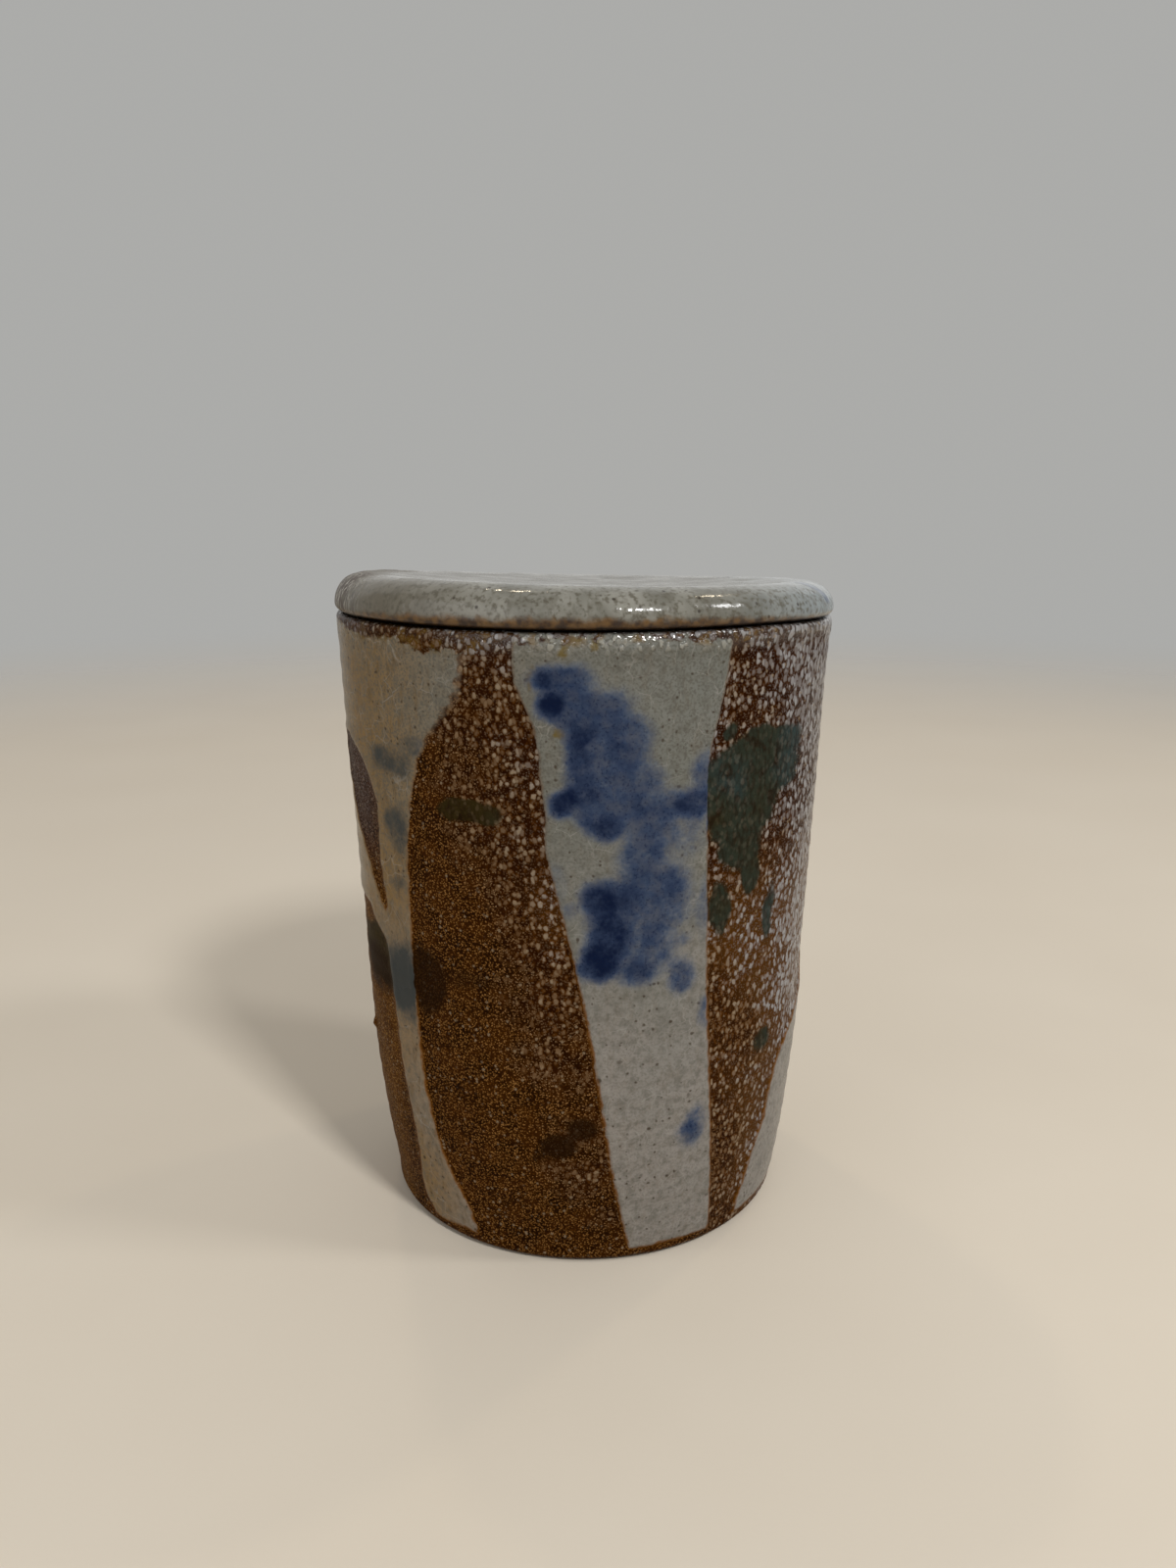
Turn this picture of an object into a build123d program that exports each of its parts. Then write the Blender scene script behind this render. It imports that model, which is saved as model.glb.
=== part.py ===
from build123d import *
from math import cos, radians, sin
import os

# Lidded stoneware pot: a wheel-thrown pot and the loose lid that rests on its rim.
# The origin is the middle of the pot's base, with +Z up along the turning axis. Lengths are millimetres.

# Outside of the pot: a curve from the foot to the belly, then a straight flare up to the rim
pot_height = 118.8
rim_radius = 47.8
belly_height = 41.6
flare = 3.4
foot_draw_in = 4.8

# Wall and floor of the pot
wall_thickness = 5.5
floor_thickness = 7.0
floor_corner_round = 6.0
foot_round = 2.0
rim_round = 1.1

# Rolled edge and dished top of the lid. The hand-made crest isn't level: it falls to the back and to the right.
lid_overhang = 0.3
lid_crest_height = 5.4
lid_fall_back = 1.85
lid_fall_right = 0.8
lid_lower_round = 1.5
lid_roll_width = 6.0
lid_crest_land = 0.5
dish_depth = 1.6
roll_steps = 5

# Locating flange under the lid, which hangs inside the rim
flange_depth = 7.0
flange_thickness = 4.5
flange_clearance = 1.2
flange_round = 1.0

# Sizes that follow from those above
belly_radius = rim_radius - flare
foot_radius = belly_radius - foot_draw_in
mouth_radius = rim_radius - wall_thickness
lid_radius = rim_radius + lid_overhang
flange_radius = mouth_radius - flange_clearance
lid_widest = pot_height + lid_lower_round
crest_radius = lid_radius - lid_roll_width
dish_radius = crest_radius - lid_crest_land
dish_ball_radius = (dish_radius**2 + dish_depth**2) / (2 * dish_depth)


def wall_section(inset, bottom):
    """Half section of the space inside the outer wall line, drawn in by inset, from bottom up to the rim."""
    with BuildSketch(Plane.XZ) as section:
        with BuildLine():
            upper = Line((rim_radius - inset, pot_height), (belly_radius - inset, belly_height))
            lower = TangentArc(upper @ 1, (foot_radius - inset, 0), tangent=upper % 1)
            Polyline(lower @ 1, (0, 0), (0, pot_height), upper @ 0)
        make_face()
        with Locations((0, bottom)):
            Rectangle(
                rim_radius, pot_height - bottom, align=(Align.MIN, Align.MIN), mode=Mode.INTERSECT
            )
    return section.sketch


def roll_plane(rise):
    """Plane across the lid's roll, from level at its widest line (rise 0) to the slope of its crest (rise 1)."""
    right = rise * lid_fall_right / crest_radius
    back = rise * lid_fall_back / crest_radius
    height = lid_widest + rise * (lid_crest_height - lid_lower_round)
    return Plane(origin=(0, 0, height), x_dir=(1, 0, -right), z_dir=(right, back, 1))


# Pot: the outer form less the hollow, with its foot, floor corner and rim edges rounded
with BuildPart() as pot_body:
    revolve(wall_section(0, 0), Axis.Z)
    revolve(wall_section(wall_thickness, floor_thickness), Axis.Z, mode=Mode.SUBTRACT)
    rings = pot_body.edges().filter_by(GeomType.CIRCLE)
    levels = rings.group_by(Axis.Z)
    foot_edge = levels[0]
    floor_corner = levels[1]
    rim_edges = levels[-1]
    fillet(foot_edge, foot_round)
    fillet(floor_corner, floor_corner_round)
    fillet(rim_edges, rim_round)

# Lid: a plate with a rolled edge and a shallow dish on top, and a ring under it that keeps it on the rim
with BuildPart() as lid:
    with BuildSketch(Plane.XZ):
        with BuildLine():
            lower_roll = RadiusArc(
                (lid_radius - lid_lower_round, pot_height), (lid_radius, lid_widest), -lid_lower_round
            )
            Polyline(lower_roll @ 1, (0, lid_widest), (0, pot_height), lower_roll @ 0)
        make_face()
    revolve(axis=Axis.Z)
    for step in range(roll_steps + 1):
        turn = radians(90 * step / roll_steps)
        with BuildSketch(roll_plane(sin(turn))):
            Circle(crest_radius + lid_roll_width * cos(turn))
    loft()
    with Locations(roll_plane(1).offset(dish_ball_radius - dish_depth)):
        Sphere(dish_ball_radius, rotation=(90, 0, 0), mode=Mode.SUBTRACT)
    with BuildSketch(Plane.XY.offset(pot_height)):
        Circle(flange_radius)
        Circle(flange_radius - flange_thickness, mode=Mode.SUBTRACT)
    extrude(amount=-flange_depth)
    flange_edges = lid.edges().filter_by(GeomType.CIRCLE).group_by(Axis.Z)[0]
    fillet(flange_edges, flange_round)

pot_body.part.label = "pot_body"
lid.part.label = "lid"

os.makedirs("parts", exist_ok=True)
export_step(pot_body.part, "parts/pot_body.step")
export_step(lid.part, "parts/lid.step")
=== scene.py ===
import itertools
import math

import bpy
import numpy as np
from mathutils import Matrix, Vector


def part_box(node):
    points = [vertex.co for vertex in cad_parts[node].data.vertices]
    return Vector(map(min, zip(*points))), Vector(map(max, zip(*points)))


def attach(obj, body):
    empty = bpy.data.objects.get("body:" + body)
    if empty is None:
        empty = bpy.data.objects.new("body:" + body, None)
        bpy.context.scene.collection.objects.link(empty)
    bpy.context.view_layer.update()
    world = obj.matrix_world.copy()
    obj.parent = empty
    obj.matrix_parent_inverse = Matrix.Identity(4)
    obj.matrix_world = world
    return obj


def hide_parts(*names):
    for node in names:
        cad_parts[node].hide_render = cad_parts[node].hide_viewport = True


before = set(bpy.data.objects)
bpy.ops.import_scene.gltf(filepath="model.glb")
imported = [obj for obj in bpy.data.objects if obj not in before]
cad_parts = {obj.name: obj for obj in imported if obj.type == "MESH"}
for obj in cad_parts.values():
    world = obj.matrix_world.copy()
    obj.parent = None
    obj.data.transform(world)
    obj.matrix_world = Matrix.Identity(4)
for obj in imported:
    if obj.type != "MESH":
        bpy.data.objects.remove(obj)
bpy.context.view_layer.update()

# Sizes of the pot and lid in metres, as the solids have them, with the middle of the base at the origin
MM = 0.001
RIM_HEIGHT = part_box("pot_body")[1].z
LID_LOW, LID_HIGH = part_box("lid")
LID_RADIUS = LID_HIGH.x
LID_OVERHANG = 0.3 * MM
RIM_RADIUS = LID_RADIUS - LID_OVERHANG
FLARE = 3.4 * MM
FOOT_DRAW_IN = 4.8 * MM
BELLY_HEIGHT = 41.6 * MM
BELLY_RADIUS = RIM_RADIUS - FLARE
WALL = 5.5 * MM
FLOOR = 7.0 * MM
FLOOR_CORNER = 6.0 * MM
FOOT_ROUND = 2.0 * MM
RIM_ROUND = 1.1 * MM
RIM_TUCK = 1.6 * MM
LID_LOWER_ROUND = 1.5 * MM
LID_LOWER_TUCK = 2.2 * MM
LID_ROLL_WIDTH = 6.0 * MM
LID_CREST_HEIGHT = 5.4 * MM
LID_FALL_BACK = 1.85 * MM
LID_FALL_RIGHT = 0.8 * MM
LID_TWIST = 0.42 * MM
CREST_RADIUS = LID_RADIUS - LID_ROLL_WIDTH
CREST_LAND = 0.5 * MM
DISH_DEPTH = 1.6 * MM
FLANGE_CLEARANCE = 1.2 * MM
FLANGE_THICKNESS = 4.5 * MM
FLANGE_OUTER = RIM_RADIUS - WALL - FLANGE_CLEARANCE
FLANGE_INNER = FLANGE_OUTER - FLANGE_THICKNESS
FLANGE_ROUND = 1.0 * MM

# Camera of the photograph: its frame and focal length in pixels, its place and its downward tilt
FRAME_WIDTH = 1200
FRAME_HEIGHT = 1600
FOCAL = 1240.0
CAMERA_PLACE = np.array([0.7, -240.04, 140.47]) * MM
CAMERA_TILT = math.radians(13.54)
SENSOR_MM = 36.0
LOOK = np.array([0.0, math.cos(CAMERA_TILT), -math.sin(CAMERA_TILT)])
UP = np.array([0.0, math.sin(CAMERA_TILT), math.cos(CAMERA_TILT)])
RIGHT = np.array([1.0, 0.0, 0.0])


def smooth_step(value, low, high):
    """Soft ramp from 0 at low to 1 at high; low may be the larger."""
    share = np.clip((value - low) / (high - low), 0.0, 1.0)
    return share * share * (3.0 - 2.0 * share)


def wall_radius(height):
    """Outside radius at a height: a straight flare above the belly and an arc tangent to it below."""
    rise = RIM_HEIGHT - BELLY_HEIGHT
    outward = np.array([rise, -FLARE]) / math.hypot(FLARE, rise)
    chord = np.array([-FOOT_DRAW_IN, -BELLY_HEIGHT])
    bend = -(chord @ chord) / (2.0 * chord @ outward)
    centre = np.array([BELLY_RADIUS, BELLY_HEIGHT]) - bend * outward
    upper = BELLY_RADIUS + FLARE * (height - BELLY_HEIGHT) / rise
    lower = centre[0] + np.sqrt(bend ** 2 - (height - centre[1]) ** 2)
    return np.where(height > BELLY_HEIGHT, upper, lower)


# Places on the wall are (azimuth, height): azimuth in radians from the front towards +X, height in metres
SEARCH_STEPS = 30


def seen(x, y):
    """Place on the wall behind a pixel of the photograph, or the nearest one to a pixel beside it."""
    ray = LOOK + (x - FRAME_WIDTH / 2) / FOCAL * RIGHT + (FRAME_HEIGHT / 2 - y) / FOCAL * UP
    closest = -(CAMERA_PLACE[:2] @ ray[:2]) / (ray[:2] @ ray[:2])
    near, far = 0.5 * closest, closest
    for _ in range(SEARCH_STEPS):
        middle = (near + far) / 2
        place = CAMERA_PLACE + middle * ray
        if math.hypot(place[0], place[1]) > wall_radius(place[2]):
            near = middle
        else:
            far = middle
    place = CAMERA_PLACE + far * ray
    return math.atan2(place[0], -place[1]), place[2]


def behind(degrees, height_mm):
    """Place on the wall that the photograph doesn't show."""
    return math.radians(degrees), height_mm * MM


def curve(places, steps=6):
    """Smooth line through places, ends included."""
    knots = np.array([places[0], *places, places[-1]])
    line = []
    for before, start, end, after in zip(knots, knots[1:], knots[2:], knots[3:]):
        for share in np.arange(steps) / steps:
            line.append(0.5 * (2 * start + (end - before) * share
                               + (2 * before - 5 * start + 4 * end - after) * share ** 2
                               + (3 * start - before - 3 * end + after) * share ** 3))
    return np.array([*line, knots[-1]])


# Facets cut through the pale slip to the brown clay, each closed by its edges in turn. Those on the front are
# given in pixels of the photograph, those on the back in degrees and millimetres.
PETAL_LEFT = [(472, 640), (470, 673), (465, 703), (458, 720), (445, 736), (435, 756), (427, 773), (423, 794),
              (418, 827), (416, 878), (420, 970), (425, 1030), (432, 1090), (440, 1130), (450, 1170),
              (465, 1205), (478, 1230), (490, 1262)]
PETAL_RIGHT = [(646, 1290), (640, 1268), (625, 1200), (612, 1120), (600, 1050), (585, 980), (570, 922),
               (557, 872), (556, 836), (552, 806), (549, 769), (543, 743), (531, 713), (523, 690), (523, 640)]
PANEL_LEFT = [(748, 640), (745, 680), (736, 722), (726, 765), (722, 800), (722, 900), (722, 1050),
              (722, 1245), (722, 1290)]
PANEL_RIGHT = [(742, 1290), (748, 1234), (757, 1205), (770, 1165), (779, 1140), (784, 1115), (790, 1090),
               (800, 1060)]
PANEL_BACK = [(88, 50), (98, 70), (106, 95), (110, 125)]
DIAMOND_RIGHT = [(357, 745), (370, 772), (380, 800), (386, 824), (388, 870), (391, 895), (396, 925)]
DIAMOND_LEFT = [(394, 929), (385, 905), (376, 870), (367, 835), (361, 800)]
DIAMOND_BACK = [(-79, 92), (-78, 96)]
LOWER_RIGHT = [(378, 920), (385, 940), (392, 955), (396, 968), (403, 1020), (408, 1060), (420, 1130),
               (428, 1170), (433, 1210), (446, 1240), (452, 1262)]
LOWER_BACK = [(-74, -4), (-92, -4), (-104, 20), (-104, 45), (-96, 60), (-84, 65)]
BACK_FACETS = [
    [[(128, 125), (124, 100), (121, 70), (124, 35), (130, -4)],
     [(160, -4), (158, 40), (150, 85), (147, 125)]],
    [[(178, -4), (174, 30), (173, 62), (180, 92), (189, 104)],
     [(189, 104), (201, 88), (209, 55), (214, -4)]],
    [[(214, 125), (216, 90), (223, 60), (231, 44)],
     [(231, 44), (238, 72), (241, 100), (242, 125)]],
]
FACET_DEPTH = 0.35 * MM
DEEP_FACET_DEPTH = 0.3 * MM
FACET_SHOULDER = 1.2 * MM
GRIT_LUMP = (383, 1043)
GRIT_LUMP_SIZE = 1.1 * MM
GRIT_LUMP_HEIGHT = 0.7 * MM
LIP_HEIGHT = 0.14 * MM
LIP_WIDTH = 0.8 * MM
LIP_OFFSET = 0.8 * MM

# Stains: middle, half width and half height in pixels of the photograph, and strength. Those on the back have
# their middle in degrees and millimetres and their half sizes in millimetres. A stain is full up to its core,
# gone at its edge, both as shares of the half sizes, and a high blend lets the strongest stain rule.
SPLASH_CORE = 0.4
SPLASH_EDGE = 1.55
SPLASH_BLEND = 3.0
COBALT_ON_SLIP = [
    (572, 693, 34, 15, 0.66), (556, 692, 12, 11, 0.8), (561, 723, 16, 15, 1.0), (580, 737, 16, 9, 0.65),
    (566, 708, 18, 13, 0.62), (606, 834, 22, 12, 0.6),
    (584, 714, 26, 20, 0.56), (612, 726, 36, 26, 0.6), (640, 752, 26, 26, 0.58), (595, 752, 18, 14, 0.82),
    (593, 780, 17, 30, 0.74), (577, 820, 19, 15, 0.97), (594, 812, 19, 15, 0.7), (625, 770, 36, 32, 0.56),
    (612, 803, 22, 18, 0.55), (648, 800, 30, 28, 0.57), (636, 826, 34, 18, 0.6), (618, 844, 24, 13, 0.76),
    (684, 822, 26, 19, 0.62), (712, 818, 26, 17, 0.76), (722, 793, 14, 26, 0.52), (664, 845, 30, 26, 0.54),
    (655, 875, 26, 28, 0.57), (695, 855, 24, 26, 0.33), (668, 905, 34, 26, 0.58), (628, 916, 32, 20, 0.75),
    (612, 925, 17, 24, 0.82), (620, 955, 24, 36, 0.86), (610, 979, 22, 20, 1.0), (655, 945, 38, 30, 0.53),
    (684, 925, 24, 32, 0.4), (664, 972, 28, 26, 0.48), (648, 990, 20, 16, 0.68), (696, 996, 15, 18, 0.55),
    (697, 961, 10, 8, 0.3), (582, 932, 12, 10, 0.3), (566, 903, 13, 22, 0.24), (718, 925, 9, 30, 0.38),
    (720, 1033, 9, 15, 0.38), (709, 1140, 11, 15, 0.42), (703, 1154, 13, 15, 0.5),
    (422, 763, 14, 12, 0.4), (396, 777, 18, 15, 0.45), (405, 842, 14, 20, 0.45), (410, 864, 10, 10, 0.35),
    (407, 900, 9, 9, 0.3), (412, 1002, 18, 36, 0.7), (414, 1205, 8, 8, 0.25), (420, 1230, 6, 6, 0.3),
]
COBALT_ON_CLAY = [
    (790, 760, 30, 18, 1.0), (772, 790, 44, 30, 1.0), (757, 825, 34, 32, 1.0), (758, 862, 20, 26, 0.9),
    (765, 892, 9, 20, 0.8), (785, 932, 6, 28, 0.6), (734, 930, 10, 28, 0.8), (747, 748, 7, 8, 0.7),
    (778, 1060, 8, 14, 0.5), (476, 830, 31, 12, 0.9), (388, 972, 18, 26, 0.8),
]
IRON_ON_CLAY = [
    (592, 1154, 18, 12, 0.7), (570, 1172, 18, 14, 0.7), (552, 1184, 10, 8, 0.4), (434, 1000, 18, 30, 0.8),
    (474, 1002, 36, 10, 0.35), (384, 985, 16, 22, 0.5),
]
OCHRE_ON_SLIP = [
    (573, 748, 8, 6, 0.8), (541, 692, 6, 16, 0.6), (577, 662, 6, 9, 0.8), (608, 662, 6, 8, 0.7),
    (592, 655, 12, 5, 0.5),
]
COBALT_BEHIND = [
    (168, 92, 6, 6, 0.9), (172, 80, 8, 9, 0.9), (165, 70, 5, 5, 0.8), (176, 62, 4, 6, 0.6),
    (150, 74, 9, 8, 0.9), (142, 62, 5, 9, 0.8), (118, 52, 5, 7, 0.7), (114, 40, 3, 4, 0.6),
    (210, 84, 7, 5, 0.8), (214, 74, 6, 8, 0.9), (208, 64, 4, 4, 0.7), (245, 58, 6, 8, 0.8),
    (250, 48, 4, 5, 0.7), (196, 40, 6, 4, 0.6), (226, 24, 3, 5, 0.6),
]


def as_seen(pixels):
    return [seen(x, y) for x, y in pixels]


def as_behind(places):
    return [behind(degrees, height) for degrees, height in places]


def outline(*edges):
    """Closed line from edges in turn, each smooth, with corners left between them."""
    return np.concatenate([curve(edge) for edge in edges])


SHALLOW_FACETS = [
    outline(as_seen(PETAL_LEFT), as_seen(PETAL_RIGHT)),
    outline(as_seen(PANEL_LEFT), as_seen(PANEL_RIGHT) + as_behind(PANEL_BACK)),
    *(outline(as_behind(first), as_behind(second)) for first, second in BACK_FACETS),
]
DEEP_FACETS = [
    outline(as_seen(DIAMOND_RIGHT), as_seen(DIAMOND_LEFT) + as_behind(DIAMOND_BACK)),
    outline(as_seen(LOWER_RIGHT), as_behind(LOWER_BACK)),
]


def inside_distance(azimuth, height, shape):
    """Distance inside a closed outline on the unrolled wall, in metres; negative outside it."""
    middle = shape[:, 0].mean()
    turn = (azimuth - middle + np.pi) % (2 * np.pi) - np.pi
    points = np.stack([turn.ravel() * BELLY_RADIUS, height.ravel()], axis=1)
    corners = np.stack([(shape[:, 0] - middle) * BELLY_RADIUS, shape[:, 1]], axis=1)
    nearest = np.full(len(points), np.inf)
    inside = np.zeros(len(points), bool)
    for start, end in zip(corners, np.roll(corners, -1, axis=0)):
        edge = end - start
        length = edge @ edge
        if length == 0.0:
            continue
        along = np.clip((points - start) @ edge / length, 0.0, 1.0)
        away = points - start - along[:, None] * edge
        nearest = np.minimum(nearest, (away * away).sum(axis=1))
        if edge[1] != 0.0:
            spans = (start[1] > points[:, 1]) != (end[1] > points[:, 1])
            inside ^= spans & (points[:, 0] < start[0] + (points[:, 1] - start[1]) * edge[0] / edge[1])
    return (np.sqrt(nearest) * np.where(inside, 1.0, -1.0)).reshape(azimuth.shape)


LATTICE = 32
NOISE_TURN = np.array([[0.36, 0.48, -0.8], [-0.8, 0.6, 0.0], [0.48, 0.64, 0.6]])


def uneven(points, size, seed):
    """Smooth seeded noise from -1 to 1, with bumps about one size across, turned so that no grain shows."""
    lattice = np.random.default_rng(seed).uniform(-1.0, 1.0, (LATTICE, LATTICE, LATTICE))
    scaled = points @ NOISE_TURN / size
    cell = np.floor(scaled).astype(int)
    share = scaled - cell
    share = share * share * (3.0 - 2.0 * share)
    total = np.zeros(points.shape[:-1])
    for corner in itertools.product((0, 1), repeat=3):
        weight = np.where(np.array(corner) == 1, share, 1.0 - share).prod(axis=-1)
        index = (cell + np.array(corner)) % LATTICE
        total += weight * lattice[index[..., 0], index[..., 1], index[..., 2]]
    return total


def waves(points, layers):
    """Sum of layers of seeded noise, each given as (height, size, seed)."""
    return sum(height * uneven(points, size, seed) for height, size, seed in layers)


def on_wall(azimuth, radius, height):
    """Points in space for places at a radius from the axis."""
    return np.stack([radius * np.sin(azimuth), -radius * np.cos(azimuth), height + 0.0 * azimuth], axis=-1)


def splash_strength(azimuth, height, splashes):
    """Strength of stain at each place, from splashes given as (azimuth, height, half sizes, strength)."""
    total = np.zeros(azimuth.shape)
    for turn, level, half_turn, half_height, strength in splashes:
        across = ((azimuth - turn + np.pi) % (2 * np.pi) - np.pi) / half_turn
        up = (height - level) / half_height
        total += (strength * smooth_step(np.hypot(across, up), SPLASH_EDGE, SPLASH_CORE)) ** SPLASH_BLEND
    return np.minimum(total ** (1.0 / SPLASH_BLEND), 1.0)


def seen_splash(x, y, half_width, half_height, strength):
    """Splash on the wall behind an ellipse of pixels."""
    turn, level = seen(x, y)
    half_turn = abs(seen(x + half_width, y)[0] - seen(x - half_width, y)[0]) / 2
    half_level = abs(seen(x, y + half_height)[1] - seen(x, y - half_height)[1]) / 2
    return turn, level, half_turn, half_level, strength


def unseen_splash(degrees, height_mm, half_width_mm, half_height_mm, strength):
    """Splash on the wall that the photograph doesn't show."""
    turn, level = behind(degrees, height_mm)
    return turn, level, half_width_mm * MM / BELLY_RADIUS, half_height_mm * MM, strength


SLIP_SPLASHES = [seen_splash(*numbers) for numbers in COBALT_ON_SLIP]
CLAY_SPLASHES = [seen_splash(*numbers) for numbers in COBALT_ON_CLAY]
IRON_SPLASHES = [seen_splash(*numbers) for numbers in IRON_ON_CLAY]
OCHRE_SPLASHES = [seen_splash(*numbers) for numbers in OCHRE_ON_SLIP]
BACK_SPLASHES = [unseen_splash(*numbers) for numbers in COBALT_BEHIND]


# Meshes turned on the axis


def add_object(name, data):
    piece = bpy.data.objects.new(name, data)
    bpy.context.scene.collection.objects.link(piece)
    return piece


def turned_grid(stations, columns):
    """Azimuth, and then each number of the stations, as arrays of rows by columns."""
    turn = np.linspace(-np.pi, np.pi, columns, endpoint=False)
    azimuth = np.broadcast_to(turn, (len(stations), columns))
    return azimuth, *(np.repeat(numbers[:, None], columns, axis=1) for numbers in stations.T)


def turned_mesh(name, points, band_materials, materials):
    """Closed mesh from rows of points that start and end on the axis; points has shape (rows, columns, 3)."""
    rows, columns = points.shape[:2]
    rings = points[1:-1].reshape(-1, 3)
    vertices = np.concatenate([rings, points[0, :1], points[-1, :1]])
    first_pole = len(rings)
    last_pole = first_pole + 1
    last_ring = (rows - 3) * columns
    neighbours = [(column, (column + 1) % columns) for column in range(columns)]
    faces = [(first_pole, beside, here) for here, beside in neighbours]
    for low in range(0, last_ring, columns):
        high = low + columns
        faces += [(low + here, low + beside, high + beside, high + here) for here, beside in neighbours]
    faces += [(last_ring + here, last_ring + beside, last_pole) for here, beside in neighbours]
    mesh = bpy.data.meshes.new(name)
    mesh.from_pydata(vertices.tolist(), [], faces)
    for material in materials:
        mesh.materials.append(material)
    mesh.polygons.foreach_set("material_index", np.repeat(band_materials, columns))
    mesh.polygons.foreach_set("use_smooth", np.ones(len(faces), bool))
    mesh.update()
    return add_object(name, mesh)


def add_attributes(piece, attributes):
    """Stores named numbers for each point, given in rows and columns like the points of a turned mesh."""
    for name, values in attributes.items():
        flat = np.concatenate([values[1:-1].ravel(), values[0, :1], values[-1, :1]])
        stored = piece.data.attributes.new(name, "FLOAT", "POINT")
        stored.data.foreach_set("value", flat.astype(np.float32))


def arc(start, end, steps, from_flat):
    """Quarter ellipse of (radius, height) from start to end, leaving level when from_flat, else upright."""
    turn = np.linspace(0.0, np.pi / 2, steps + 1)[1:]
    rise = 1.0 - np.cos(turn)
    run = np.sin(turn)
    across, up = (run, rise) if from_flat else (rise, run)
    radii = start[0] + (end[0] - start[0]) * across
    heights = start[1] + (end[1] - start[1]) * up
    return list(zip(radii, heights))


# Nodes and materials
COAT_ROUGHNESS = 0.1
EVEN = (1.0, 1.0, 1.0)
OFFSET_LEAN = (1.0, 0.7, 1.3)


def srgb(red, green, blue):
    """Colour from 8-bit display values."""
    def linear(value):
        share = value / 255
        return share / 12.92 if share <= 0.04045 else ((share + 0.055) / 1.055) ** 2.4
    return linear(red), linear(green), linear(blue), 1.0


class Value:
    """Number, place or colour that a node works out. Arithmetic with it adds nodes to the same tree."""

    def __init__(self, nodes, socket):
        self.nodes = nodes
        self.socket = socket

    def maths(self, operation, first, second):
        return self.nodes.add("Math", {0: first, 1: second}, 0, operation=operation)

    def __add__(self, other):
        return self.maths("ADD", self, other)

    def __mul__(self, other):
        return self.maths("MULTIPLY", self, other)

    def __sub__(self, other):
        return self.maths("SUBTRACT", self, other)

    def __rsub__(self, other):
        return self.maths("SUBTRACT", other, self)

    def most(self, other):
        return self.maths("MAXIMUM", self, other)

    def ramp(self, low, high, start=0.0, end=1.0):
        """Soft ramp from start, where the value is low, to end, where it is high."""
        inputs = {"Value": self, "From Min": low, "From Max": high, "To Min": start, "To Max": end}
        return self.nodes.add("MapRange", inputs, 0, interpolation_type="SMOOTHSTEP")

    def mix(self, first, second):
        """Colour from first, where this share is 0, to second, where it is 1."""
        return self.nodes.add("Mix", {0: self, 6: first, 7: second}, 2, data_type="RGBA")

    def beside(self, output):
        """Another output of the same node."""
        return Value(self.nodes, self.socket.node.outputs[output])


class Nodes:
    """One tree of nodes."""

    def __init__(self, tree):
        self.tree = tree

    def join(self, value, socket):
        if isinstance(value, Value):
            self.tree.links.new(value.socket, socket)
        else:
            socket.default_value = value

    def add(self, kind, inputs, output, **settings):
        """Adds a node with its inputs joined, and gives one of its outputs."""
        node = self.tree.nodes.new("ShaderNode" + kind)
        for name, setting in settings.items():
            setattr(node, name, setting)
        for key, value in inputs.items():
            self.join(value, node.inputs[key])
        return Value(self, node.outputs[output])


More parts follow.
